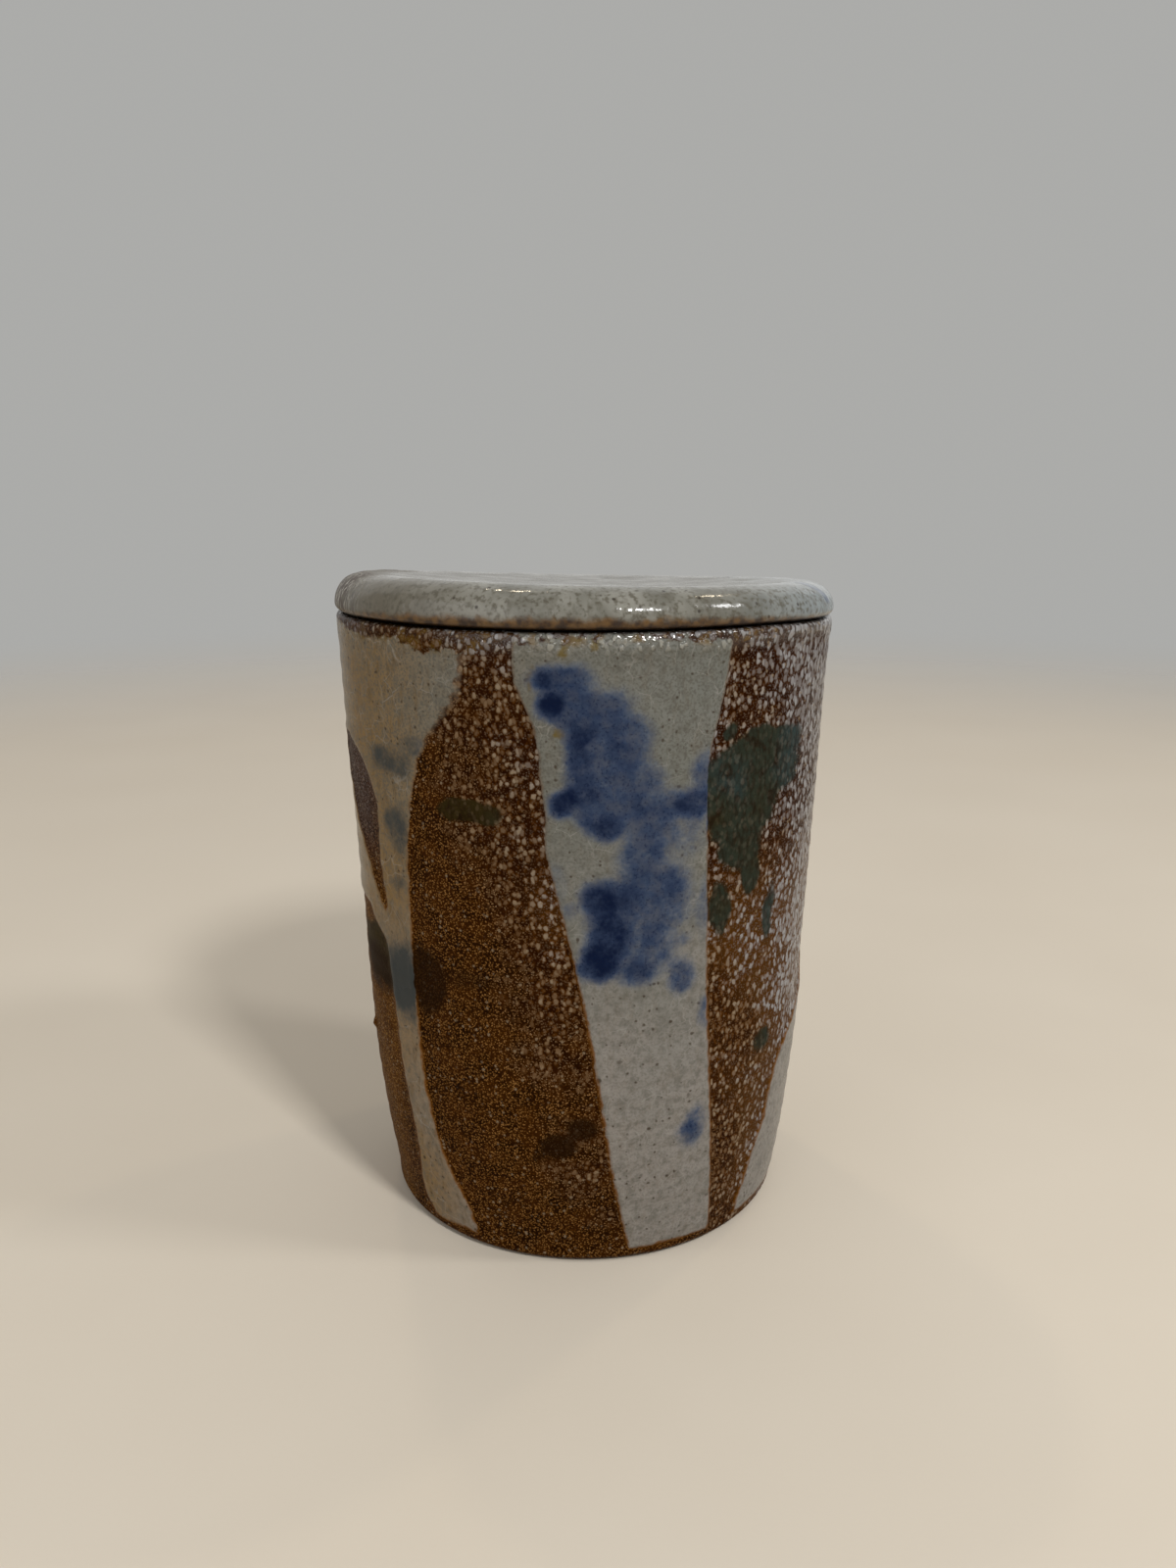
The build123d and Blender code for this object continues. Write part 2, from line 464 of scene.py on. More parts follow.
class Shader(Nodes):
    """One material and its patterns. Sizes of patterns are millimetres on the object."""

    def __init__(self, name, specular=0.5):
        self.material = bpy.data.materials.new(name)
        self.material.use_nodes = True
        super().__init__(self.material.node_tree)
        self.surface = self.tree.nodes["Principled BSDF"]
        self.join(specular, self.surface.inputs["Specular IOR Level"])
        place = self.add("TexCoord", {}, "Object")
        self.place = self.add("VectorMath", {0: place, 3: 1 / MM}, 0, operation="SCALE")

    def axis(self, name):
        return self.add("SeparateXYZ", {0: self.place}, name)

    def attribute(self, name):
        return self.add("Attribute", {}, "Fac", attribute_name=name)

    def shifted(self, offset, stretch=EVEN, warp=0.0):
        """The place in millimetres, moved, stretched and warped, so that patterns don't repeat each other."""
        location = [offset * lean for lean in OFFSET_LEAN]
        place = self.add("Mapping", {"Vector": self.place, "Location": location, "Scale": stretch}, 0)
        if warp == 0.0:
            return place
        swirl = self.add("TexNoise", {"Vector": place, "Scale": 0.5 / warp, "Detail": 2.0}, "Color")
        swirl = self.add("VectorMath", {0: swirl, 3: warp}, 0, operation="SCALE")
        return self.add("VectorMath", {0: place, 1: swirl}, 0, operation="ADD")

    def noise(self, size, detail=2.0, offset=0.0, stretch=EVEN):
        """Smooth noise from 0 to 1."""
        inputs = {"Vector": self.shifted(offset, stretch), "Scale": 1 / size, "Detail": detail}
        return self.add("TexNoise", inputs, "Fac")

    def wave(self, size, detail=2.0, offset=0.0, stretch=EVEN):
        """The same noise from -0.5 to 0.5."""
        return self.noise(size, detail, offset, stretch) - 0.5

    def cells(self, size, offset=0.0, warp=0.0, stretch=EVEN, feature="F1"):
        """Distance from the middle of random cells, or from their edges."""
        inputs = {"Vector": self.shifted(offset, stretch, warp), "Scale": 1 / size}
        return self.add("TexVoronoi", inputs, "Distance", feature=feature)

    def own_number(self, cells):
        """Random number of each cell."""
        return self.add("SeparateColor", {0: cells.beside("Color")}, 0)

    def dots(self, size, offset, fade, choice, strength=1.0, warp=0.0):
        """Dots in random cells, with the distances of their edge and core. Choice is the numbers of the cells
        that have no dot and of those that have a full one."""
        away = self.cells(size, offset, warp)
        return away.ramp(*fade) * self.own_number(away).ramp(*choice, 0.0, strength)

    def spots(self, size, offset, cover=0.0, stretch=EVEN):
        """Halo and pale core of round spots of one size, some fainter than others; more cover widens them."""
        away = self.cells(size, offset, 0.6 * size, stretch)
        field = self.wave(size, 2.0, offset + 60.0) * 0.8 + cover + (0.5 - away)
        core = field.ramp(0.02, 0.28) * self.own_number(away).ramp(0.0, 0.9, 0.4, 1.0)
        return field.ramp(-0.14, 0.1), core

    def finish(self, colour, roughness, height_mm, coat=None):
        """Joins colour, roughness, a height in millimetres and the share of glassy coat to the surface."""
        bump = self.add("Bump", {"Strength": 1.0, "Distance": MM, "Height": height_mm}, 0)
        joined = {"Base Color": colour, "Roughness": roughness, "Normal": bump}
        if coat is not None:
            joined |= {"Coat Weight": coat, "Coat Normal": bump, "Coat Roughness": COAT_ROUGHNESS}
        for name, value in joined.items():
            self.join(value, self.surface.inputs[name])
        return self.material


# Colours of the slip, the clay and its spots, the stains, the lid, the inside, the bare clay and the floor
SLIP_PALE = srgb(134, 129, 123)
SLIP_GREY = srgb(108, 109, 103)
SLIP_BLUSH_AND_WARM_LIGHT = srgb(126, 98, 56)
SLIP_SPECK = srgb(56, 44, 32)
SLIP_EDGE = srgb(106, 65, 18)
SLIP_SHADE = srgb(86, 84, 76)
SLIP_STREAK = srgb(94, 74, 46)
SLIP_FROST = srgb(152, 149, 142)
CLAY_DARK = srgb(28, 10, 0)
CLAY_WARM = srgb(50, 24, 2)
CLAY_RED = srgb(34, 10, 0)
CLAY_GOLD_REFLECTION = srgb(80, 46, 0)
CLAY_AMBER = srgb(74, 46, 13)
CLAY_MAUVE = srgb(54, 42, 38)
SPOT_HALO = srgb(80, 45, 4)
SPOT_HONEY_REFLECTION = srgb(152, 110, 52)
SPOT_MAUVE = srgb(116, 106, 104)
SPOT_GOLD = srgb(134, 95, 50)
SPOT_GREY = srgb(128, 110, 88)
SPOT_PALE = srgb(138, 136, 136)
OCHRE = srgb(98, 74, 26)
DRIP_OCHRE = srgb(96, 78, 22)
COBALT_DEEP = srgb(0, 16, 46)
COBALT_MID = srgb(42, 55, 80)
COBALT_SMOKE = srgb(68, 72, 84)
COBALT_LIGHT = srgb(74, 86, 106)
COBALT_GREY = srgb(55, 57, 53)
CLAY_COBALT = srgb(40, 46, 37)
CLAY_COBALT_EDGE = srgb(42, 57, 58)
POOL_DARK = srgb(26, 15, 5)
CLAY_OLIVE = srgb(42, 34, 12)
CLAY_IRON = srgb(30, 14, 2)
RIM_FROTH = srgb(158, 156, 146)
LID_GREY = srgb(102, 100, 91)
LID_PALE = srgb(132, 130, 121)
LID_PAINTED_WARM_SHADE = srgb(90, 82, 67)
LID_PAINTED_DAYLIGHT = srgb(124, 133, 136)
LID_SHADE = srgb(80, 75, 63)
LID_SPECK = srgb(40, 30, 22)
LID_EDGE_DARK = srgb(40, 20, 6)
LID_EDGE_OCHRE = srgb(96, 68, 32)
LID_BLUE = srgb(60, 76, 98)
PAINTED_GAP_SHADE = srgb(18, 9, 3)
LID_CHAFED = srgb(60, 45, 37)
LID_SCRATCH = srgb(160, 155, 144)
LINER_BUFF = srgb(118, 104, 84)
LINER_PALE = srgb(134, 124, 106)
LINER_POOL = srgb(96, 74, 50)
LINER_SPECK = srgb(60, 42, 26)
BARE_BROWN = srgb(74, 46, 24)
BARE_PALE = srgb(104, 72, 44)
BARE_GRIT = srgb(44, 26, 14)
FLOOR_TAN = srgb(206, 195, 178)
FLOOR_PALE = srgb(212, 202, 186)

# Sizes of the patterns and heights of their relief, in millimetres
FINE_SPOT = 0.4
COARSE_SPOT = 1.05
COARSE_STRETCH = (1.0, 1.0, 0.75)
STRAY_CELL = 1.2
SPECK_CELL = 1.25
PIT_CELL = 4.2
CRAZE_CELL = 3.2
LINER_SPECK_CELL = 2.2
LID_SPECK_CELL = 2.0
GRIT_CELL = 0.7
PEBBLE_HEIGHT = 0.16
PEEL_HEIGHT = 0.05
BEAD_HEIGHT = 0.3
SLIP_STEP = 0.16
RIM_BEADS = (RIM_HEIGHT / MM - 4.5, RIM_HEIGHT / MM - 1.5)


class WallGlaze(Shader):
    """Salt glaze outside: brown clay pebbled with pale spots, pale speckled slip, and stains over both.
    Places across, away and level are millimetres along the axes."""

    def __init__(self):
        super().__init__("salt_glazed_wall", specular=0.015)
        self.across = self.axis("X")
        self.away = self.axis("Y")
        self.level = self.axis("Z")
        self.breaking = self.attribute("breaking")
        self.cobalt = self.attribute("cobalt")
        self.salt = self.attribute("salt")
        self.blush_and_warm_light = self.attribute("blush_and_warm_light")
        self.near_rim = self.level.ramp(*RIM_BEADS)
        self.clouds = self.noise(14.0, 4.0, offset=5.0)
        self.rim_patches = self.noise(2.6, 2.0, offset=53.0)
        self.find_clay()
        self.scatter_spots()
        self.soak_cobalt()
        colour = self.clay.mix(self.slip_colour(), self.clay_colour())
        # Painted shade: the wall darkens at the seat, in the gap under the lid.
        colour = self.attribute("seat").mix(colour, PAINTED_GAP_SHADE)
        self.finish(colour, self.roughness(), self.relief(), self.coat())

    def find_clay(self):
        """Where the clay shows: in the cut facets, and where the slip breaks thin under the rim."""
        ragged = self.level.ramp(92.0, 106.0) * self.blush_and_warm_light.ramp(0.12, 0.3)
        wander = self.wave(1.6, 3.0) * ragged.ramp(0.0, 1.0, 0.8, 3.0)
        self.edge_mm = self.attribute("clay_mm") + wander
        soft = ragged.ramp(0.0, 1.0, 0.12, 1.0)
        thin = self.breaking + self.wave(1.5, 2.0, offset=47.0) * 1.6
        self.thin = thin.ramp(0.45, 0.7) * self.breaking.ramp(0.02, 0.2)
        self.clay = self.edge_mm.ramp(soft * -1.0, soft).most(self.thin)

    def scatter_spots(self):
        """Spots on the clay: fine where little salt fell, larger, paler and closer where more did."""
        self.patchy = self.wave(7.0, 2.0, offset=3.0)
        self.patchy_salt = self.salt + self.patchy * 0.4
        rings = self.wave(2.4, 2.0, offset=61.0, stretch=(0.12, 0.12, 1.0))
        self.local_salt = self.patchy_salt + rings * 0.3
        self.coarse = self.local_salt.ramp(0.15, 0.42)
        cover = self.local_salt.ramp(0.4, 1.0, 0.0, 0.26)
        fine_halo, fine_core = self.spots(FINE_SPOT, 0.0)
        coarse_halo, self.coarse_core = self.spots(COARSE_SPOT, 7.0, cover, COARSE_STRETCH)
        fine_halo = fine_halo * self.coarse.ramp(0.0, 1.0, 0.7, 0.3)
        fine_core = fine_core * self.coarse.ramp(0.0, 1.0, 1.0, 0.3)
        self.halo = fine_halo.most(coarse_halo * self.coarse)
        self.spot = fine_core.most(self.coarse_core * self.coarse)
        self.beaded = self.near_rim * self.coarse_core

    def soak_cobalt(self):
        """Cobalt is grainy and blotted: its dose in the slip, and where it floods the spots on the clay."""
        grain = self.wave(0.7, 3.0, offset=23.0) * 0.32
        blot = self.wave(3.0, 5.0, offset=29.0) * 0.55
        self.blotted = grain + blot
        self.dose = self.cobalt + self.blotted * self.cobalt.ramp(0.0, 0.35)
        self.flooded = (self.cobalt + (grain + blot * 0.5)).ramp(0.18, 0.5)
        self.raised_spot = self.spot * self.clay * self.flooded.ramp(1.0, 0.0, 0.15, 1.0)

    def clay_colour(self):
        """Clay with its spots, a rusty brink at the slip, pools of cobalt and burns of iron."""
        # Painted warm reflection: the clay low on the left is tinted gold, and its spots honey.
        painted_warm_reflection = self.across.ramp(-33.0, -36.5) * self.level.ramp(78.0, 60.0)
        painted_warm_reflection = painted_warm_reflection * self.away.ramp(8.0, -14.0) * self.patchy.ramp(-0.15, 0.15, 0.55, 1.0)
        mauve = self.across.ramp(-36.0, -40.0) * self.level.ramp(70.0, 84.0)
        colour = self.spot.mix(self.clay_ground(painted_warm_reflection, mauve), self.spot_tint(painted_warm_reflection, mauve))
        stray = self.dots(STRAY_CELL, 37.0, (0.32, 0.14), (0.5, 0.8), warp=0.3)
        colour = (stray * 0.8).mix(colour, SPOT_GREY)
        brink = self.edge_mm.ramp(0.55, 0.1) * self.level.ramp(95.0, 45.0, 0.0, 0.5)
        colour = brink.mix(colour, SLIP_EDGE)
        colour = (self.flooded * 0.94).mix(colour, self.pool_colour())
        burnt = self.attribute("iron") + self.blotted * 0.6
        return (burnt.ramp(0.1, 0.55) * 0.85).mix(colour, CLAY_IRON)

    def clay_ground(self, painted_warm_reflection, mauve):
        """Brown clay between the spots, redder where they are coarse, with brown halos round them."""
        ground = self.noise(4.0, 3.0, offset=11.0).ramp(0.35, 0.65).mix(CLAY_DARK, CLAY_WARM)
        ground = (self.coarse * 0.7).mix(ground, CLAY_RED)
        ground = (self.thin * self.rim_patches.ramp(0.45, 0.68, 0.05, 0.7)).mix(ground, OCHRE)
        amber = self.salt.ramp(0.36, 0.52) * self.level.ramp(84.0, 62.0, 0.0, 0.85)
        ground = amber.mix(ground, CLAY_AMBER)
        # Painted warm reflection on the clay between the spots.
        ground = (painted_warm_reflection * 0.75).mix(ground, CLAY_GOLD_REFLECTION)
        ground = (mauve * 0.7).mix(ground, CLAY_MAUVE)
        halo_share = self.local_salt.ramp(0.3, 0.6, 0.75, 0.35).most(self.level.ramp(92.0, 65.0, 0.35, 0.85))
        return (self.halo * halo_share).mix(ground, SPOT_HALO)

    def spot_tint(self, painted_warm_reflection, mauve):
        """Colour of the spots: gold with little salt, then grey, then pale, and honey where a warm reflection
        is painted.
        """
        tint = self.local_salt.ramp(0.1, 0.42).mix(SPOT_GOLD, SPOT_GREY)
        tint = self.local_salt.ramp(0.38, 0.68).mix(tint, SPOT_PALE)
        return mauve.mix(painted_warm_reflection.mix(tint, SPOT_HONEY_REFLECTION), SPOT_MAUVE)

    def pool_colour(self):
        """Cobalt on clay: teal, or olive where there is little salt, with dark grain and a few spots."""
        teal = self.patchy_salt.ramp(0.5, 0.75).mix(CLAY_COBALT, CLAY_COBALT_EDGE)
        pool = self.patchy_salt.ramp(0.3, 0.5).mix(CLAY_OLIVE, teal)
        grain = self.noise(0.7, 3.0, offset=43.0, stretch=(1.0, 1.0, 0.45))
        pool = grain.ramp(0.42, 0.66, 0.0, 0.55).mix(pool, POOL_DARK)
        pool = self.noise(3.0, 3.0, offset=91.0).ramp(0.55, 0.68, 0.0, 0.7).mix(pool, POOL_DARK)
        return (self.coarse_core * self.patchy.ramp(-0.2, 0.2, 0.0, 0.14)).mix(pool, SPOT_GREY)

    def slip_colour(self):
        """Slip: paler towards the foot and greyer towards the rim as painted light, warm on one side partly
        as blush and partly as painted warm light, mottled and brushed, then its marks.
        """
        # Painted light: the slip is paler low down and greyer high up, with random clouds of tone over it.
        painted_low_light_and_clouds = self.level.ramp(100.0, 20.0) + (self.clouds - 0.5)
        colour = painted_low_light_and_clouds.mix(SLIP_GREY, SLIP_PALE)
        # The warm side of the slip is partly blush in the glaze and partly painted warm light.
        colour = (self.blush_and_warm_light * self.clouds.ramp(0.2, 0.7, 0.6, 1.0)).mix(colour, SLIP_BLUSH_AND_WARM_LIGHT)
        colour = self.noise(1.5, 5.0, offset=6.0).ramp(0.42, 0.7, 0.0, 0.5).mix(colour, SLIP_SHADE)
        mottle = self.noise(0.45, 2.0, offset=73.0).ramp(0.42, 0.68)
        colour = (mottle * self.level.ramp(60.0, 100.0, 0.38, 0.75)).mix(colour, SLIP_SHADE)
        brushed = self.noise(1.2, 5.0, offset=83.0, stretch=(1.0, 1.0, 0.38)).ramp(0.48, 0.72, 0.0, 0.5)
        colour = (brushed * self.blush_and_warm_light.ramp(0.1, 0.7, 0.25, 1.0)).mix(colour, SLIP_STREAK)
        colour = self.slip_edges(self.slip_flaws(colour))
        return self.dose.ramp(0.0, 0.6).mix(colour, self.blue_colour())

    def slip_flaws(self, colour):
        """Iron specks, a few pits and fine pale crazing."""
        away = self.cells(SPECK_CELL, 13.0, 0.6)
        own = self.own_number(away)
        speck = away.ramp(own.ramp(0.4, 1.0, 0.14, 0.34), 0.08) * own.ramp(0.4, 0.8, 0.0, 0.8)
        colour = speck.mix(colour, SLIP_SPECK)
        pit = self.dots(PIT_CELL, 67.0, (0.12, 0.05), (0.4, 0.7), strength=0.8, warp=1.0)
        colour = pit.mix(colour, SLIP_SPECK)
        craze = self.cells(CRAZE_CELL, 17.0, 1.2, feature="DISTANCE_TO_EDGE").ramp(0.035, 0.0)
        craze = craze * self.noise(5.0, 1.0, offset=79.0).ramp(0.44, 0.64, 0.0, 0.35)
        return craze.mix(colour, SLIP_FROST)

    def slip_edges(self, colour):
        """Rust along the facets, pale beads and ochre under the rim, and ochre drips."""
        rust = self.noise(2.5, 2.0, offset=19.0).ramp(0.35, 0.65, 0.3, 0.9)
        rust = self.edge_mm.ramp(-0.55, -0.12) * rust * self.level.ramp(85.0, 45.0, 0.4, 1.0)
        colour = rust.mix(colour, SLIP_EDGE)
        colour = (self.beaded * 0.75).mix(colour, RIM_FROTH)
        stain = self.breaking.ramp(0.05, 0.5) * self.rim_patches.ramp(0.48, 0.64, 0.0, 0.75)
        colour = stain.mix(colour, OCHRE)
        ochre = self.attribute("ochre")
        drip = (ochre + self.wave(1.0, 3.0, offset=107.0) * 0.9).ramp(0.25, 0.75, 0.0, 0.8)
        return (drip * ochre.ramp(0.0, 0.2)).mix(colour, DRIP_OCHRE)

    def blue_colour(self):
        """Cobalt on slip: a grainy, smoky blue, greyer where the slip is blushed."""
        blue = self.dose.ramp(0.2, 0.72).mix(COBALT_LIGHT, COBALT_MID)
        blue = self.dose.ramp(0.58, 1.06).mix(blue, COBALT_DEEP)
        smoky = self.noise(2.2, 5.0, offset=101.0).ramp(0.4, 0.64)
        blue = (smoky * self.dose.ramp(0.9, 0.5, 0.0, 0.6)).mix(blue, COBALT_SMOKE)
        fleck = self.noise(0.45, 2.0, offset=103.0).ramp(0.54, 0.7)
        blue = (fleck * self.dose.ramp(0.2, 0.6, 0.0, 0.55)).mix(blue, COBALT_DEEP)
        return self.blush_and_warm_light.ramp(0.25, 0.65, 0.0, 0.9).mix(blue, COBALT_GREY)

    def roughness(self):
        """Dull clay with shiny spots, satin slip, and more gloss under the rim."""
        on_clay = self.clay * self.raised_spot.ramp(0.0, 1.0, 0.5, 0.18)
        on_slip = (1.0 - self.clay) * self.clouds.ramp(0.3, 0.7, 0.30, 0.20)
        return (on_clay + on_slip) * self.near_rim.ramp(0.0, 1.0, 1.0, 0.5)

    def relief(self):
        """Pebbled spots, orange peel, the slip's step at the facets and the beads under the rim."""
        peel = self.noise(1.4, 2.0, offset=41.0) * PEEL_HEIGHT
        step = self.edge_mm.ramp(0.3, -0.3, 0.0, SLIP_STEP)
        beads = self.beaded + self.near_rim * self.noise(1.8, 2.0, offset=97.0)
        return self.raised_spot * PEBBLE_HEIGHT + peel + step + beads * BEAD_HEIGHT

    def coat(self):
        """Glassy coat on the coarse spots, on well salted clay, thinly on the slip, and under the rim."""
        coat = self.raised_spot.ramp(0.3, 1.0, 0.0, 0.35) * self.coarse
        coat = coat.most(self.clay * self.local_salt.ramp(0.6, 0.95, 0.0, 0.3))
        coat = coat.most(self.clay.ramp(1.0, 0.0, 0.0, 0.14))
        return coat.most(self.near_rim * self.blush_and_warm_light.ramp(0.4, 0.15, 0.06, 0.9))


class LidGlaze(Shader):
    """Glossy grey glaze on the lid, worn to ochre along its lower edge, with one blue brush mark."""

    def __init__(self):
        super().__init__("lid_glaze", specular=0.3)
        self.edge_mm = self.attribute("edge_mm")
        self.rough_end = self.attribute("rough_end")
        self.dished = self.attribute("dished")
        self.cloud = self.noise(7.0, 4.0)
        self.mottle = self.noise(0.9, 3.0, offset=5.0)
        fray = self.edge_mm + self.wave(2.2, 3.0, offset=11.0) * 2.2
        self.worn = (fray - self.attribute("worn_mm")).ramp(0.8, -0.5)
        scratch = self.noise(0.75, 3.0, offset=19.0, stretch=(1.0, 1.0, 0.25))
        self.chafed = self.rough_end * scratch.ramp(0.5, 0.62)
        roughness = self.cloud.ramp(0.3, 0.7, 0.16, 0.09) + self.worn * 0.2
        roughness = roughness + self.rough_end * 0.4 + self.dished * 0.12
        self.finish(self.wear(self.greys()), roughness, self.relief())

    def greys(self):
        """Clouded and mottled grey with dark specks, with painted warm shade at the left, painted cool
        daylight at the right and painted shade on the dished top.
        """
        across = self.axis("X")
        streaks = self.noise(1.6, 3.0, offset=29.0, stretch=(1.0, 1.0, 0.35))
        colour = self.cloud.ramp(0.3, 0.7).mix(LID_GREY, LID_PALE)
        # Painted light: warm shade towards the left end, cool daylight towards the right end.
        colour = across.ramp(-8.0, -38.0, 0.0, 0.75).mix(colour, LID_PAINTED_WARM_SHADE)
        colour = across.ramp(20.0, 46.0, 0.0, 0.85).mix(colour, LID_PAINTED_DAYLIGHT)
        colour = streaks.ramp(0.5, 0.7, 0.0, 0.4).mix(colour, LID_SHADE)
        colour = self.mottle.ramp(0.46, 0.68, 0.0, 0.8).mix(colour, LID_SHADE)
        # Painted shade: the dished top of the lid is darkened.
        colour = (self.dished * self.cloud.ramp(0.3, 0.7, 0.65, 0.35)).mix(colour, LID_SHADE)
        speck = self.dots(LID_SPECK_CELL, 9.0, (0.22, 0.08), (0.55, 0.85))
        return (speck * 0.85).mix(colour, LID_SPECK)

    def wear(self, colour):
        """Ochre on the worn edge, painted shade of the gap under it, the blue brush mark and the rough left
        end.
        """
        ochre = self.noise(1.8, 3.0, offset=13.0).ramp(0.35, 0.65).mix(LID_EDGE_DARK, LID_EDGE_OCHRE)
        colour = (self.worn * 0.92).mix(colour, ochre)
        # Painted shade of the gap: the lid darkens just above the rim.
        colour = self.edge_mm.ramp(0.9, 0.2).mix(colour, PAINTED_GAP_SHADE)
        blue = self.attribute("blue")
        brushed = blue + self.wave(1.2, 3.0, offset=17.0, stretch=(1.0, 1.0, 0.3))
        colour = (brushed.ramp(0.3, 0.9) * blue.ramp(0.0, 0.3) * 0.8).mix(colour, LID_BLUE)
        bruised = self.rough_end * self.noise(3.0, 2.0, offset=37.0).ramp(0.34, 0.56)
        colour = (bruised * 0.85).mix(colour, LID_CHAFED)
        return (self.chafed * 0.85).mix(colour, LID_SCRATCH)

    def relief(self):
        """Orange peel, mottle and slow waves in the glaze, and scratches at the rough end."""
        peel = self.noise(2.2, 2.0, offset=23.0) * 0.06
        waves = self.noise(6.0, 3.0, offset=31.0) * 0.3
        return peel + self.mottle * 0.015 + waves + self.chafed * 0.2


def liner_glaze():
    """Thin pale glaze inside the pot, pooled in the throwing rings."""
    s = Shader("liner_glaze")
    cloud = s.noise(9.0, 4.0)
    ring = s.noise(3.5, 2.0, offset=5.0, stretch=(0.1, 0.1, 1.0))
    colour = cloud.ramp(0.3, 0.7).mix(LINER_BUFF, LINER_PALE)
    colour = ring.ramp(0.45, 0.7, 0.0, 0.5).mix(colour, LINER_POOL)
    speck = s.dots(LINER_SPECK_CELL, 9.0, (0.24, 0.1), (0.5, 0.8))
    colour = (speck * 0.7).mix(colour, LINER_SPECK)
    height = s.noise(1.5, 2.0, offset=3.0) * 0.03 + ring * 0.08
    return s.finish(colour, cloud.ramp(0.3, 0.7, 0.34, 0.22), height)


def bare_clay():
    """Unglazed stoneware where the lid and pot meet and where the pot stands."""
    s = Shader("bare_clay", specular=0.3)
    grit = s.cells(GRIT_CELL)
    cloud = s.noise(6.0, 4.0, offset=3.0)
    colour = cloud.ramp(0.3, 0.7).mix(BARE_BROWN, BARE_PALE)
    dark = grit.ramp(0.3, 0.1) * s.own_number(grit).ramp(0.6, 0.9)
    colour = (dark * 0.8).mix(colour, BARE_GRIT)
    height = s.noise(0.5, 3.0, offset=7.0) * 0.06 + grit * 0.04
    return s.finish(colour, cloud.ramp(0.3, 0.7, 0.78, 0.62), height)


WALL_GLAZE = WallGlaze().material
LINER_GLAZE = liner_glaze()
BARE_CLAY = bare_clay()
LID_GLAZE = LidGlaze().material

# Places of the materials on the pot and on the lid
GLAZED = 0
LINED = 1
BARE = 2

# The pot: rows and columns of its mesh, steps of its rounded edges, and rings across its base and floor
POT_COLUMNS = 440
OUTSIDE_ROWS = 140
INSIDE_ROWS = 44
FOOT_STEPS = 6
RIM_STEPS = 6
MOUTH_STEPS = 5
CORNER_STEPS = 7
BASE_SHARES = (0.0, 0.3, 0.6, 0.85, 1.0)
FLOOR_SHARES = (0.75, 0.5, 0.25, 0.0)

# Dip of the rim at the right, with its azimuths in degrees, and the heights over which the wall follows it
RIM_DIP = 0.9 * MM
RIM_DIP_MIDDLE = 85.0
RIM_DIP_ENDS = (50.0, 5.0)
RIM_DIP_RISE = (RIM_HEIGHT - 25.0 * MM, RIM_HEIGHT - RIM_ROUND)

# Waves in the surface, each given as (height, size, seed), and rings, given as (height, pitch)
WALL_WAVES = [(0.22 * MM, 22.0 * MM, 3), (0.08 * MM, 7.0 * MM, 4)]
OUTER_RINGS = (0.05 * MM, 4.3 * MM)
INNER_RINGS = (0.16 * MM, 5.6 * MM)
ROLL_WAVES = [(0.8, 3.0 * MM, 9)]
BAND_WAVES = [(0.35 * MM, 5.0 * MM, 1)]
BREAK_WAVES = [(0.35, 6.0 * MM, 2)]
STAIN_WAVES_ACROSS = [(0.8 * MM, 4.0 * MM, 5), (0.35 * MM, 1.6 * MM, 14)]
STAIN_WAVES_UP = [(0.8 * MM, 4.0 * MM, 6), (0.35 * MM, 1.6 * MM, 15)]
SALT_WAVES = [(0.12, 12.0 * MM, 7)]
BLUSH_AND_WARM_LIGHT_WAVES = [(0.2, 15.0 * MM, 8)]

# Heights where things start and end on the wall: relief, roll of glaze, foot without slip and the seat's
# painted shade
FOOT_FADE = (0.0, 5.0 * MM)
RIM_FADE = (RIM_HEIGHT, RIM_HEIGHT - 4.0 * MM)
INSIDE_FADE = (FLOOR + FLOOR_CORNER, FLOOR + 2 * FLOOR_CORNER)
ROLL_START = (RIM_HEIGHT - 5.5 * MM, RIM_HEIGHT - 3.2 * MM)
ROLL_END = (RIM_HEIGHT - 0.8 * MM, RIM_HEIGHT - 2.4 * MM)
FOOT_BAND = 2.7 * MM
SEAT_SHADE = (RIM_HEIGHT - 0.6 * MM, RIM_HEIGHT - 0.1 * MM)

# How the surface changes round the pot, at azimuths in degrees: salt caught by the clay, height of the band
# under the rim where the slip breaks, how strongly it breaks, the roll of glaze there, and the slip's blush,
# which is partly painted warm light
SALT_ROUND = {-180: 0.5, -130: 0.4, -90: 0.15, -55: 0.02, -35: 0.08, -20: 0.26, -8: 0.42, 30: 0.43, 42: 0.54,
              55: 0.72, 75: 1.0, 110: 0.9, 150: 0.6, 180: 0.5}
BREAK_BAND_MM = {-180: 3.0, -90: 2.2, -65: 2.6, -45: 5.0, -22: 5.5, -8: 3.2, 12: 2.6, 35: 3.2, 90: 3.0,
                 180: 3.0}
BREAK_STRENGTH = {-180: 0.8, -60: 1.0, -20: 1.0, -10: 0.5, 8: 0.45, 16: 0.85, 40: 0.9, 180: 0.8}
GLAZE_ROLL_MM = {-180: 0.15, -40: 0.1, -12: 0.2, 5: 0.4, 15: 0.55, 28: 0.4, 45: 0.15, 180: 0.15}
BLUSH_AND_WARM_LIGHT_ROUND = {-180: 0.3, -125: 0.45, -100: 0.5, -85: 0.65, -70: 0.8, -60: 1.0, -52: 0.95, -30: 0.4,
               -5: 0.05, 40: 0.0, 120: 0.0, 180: 0.3}

# Salt falls off towards the foot, less so on the right, between azimuths in degrees
SALT_FALL = 0.45
SALT_FALL_LESS = 0.22
SALT_RIGHT_START = (18.0, 40.0)
SALT_RIGHT_END = (160.0, 120.0)
SALT_MIDDLE = 0.6
SALT_MOST = 1.1


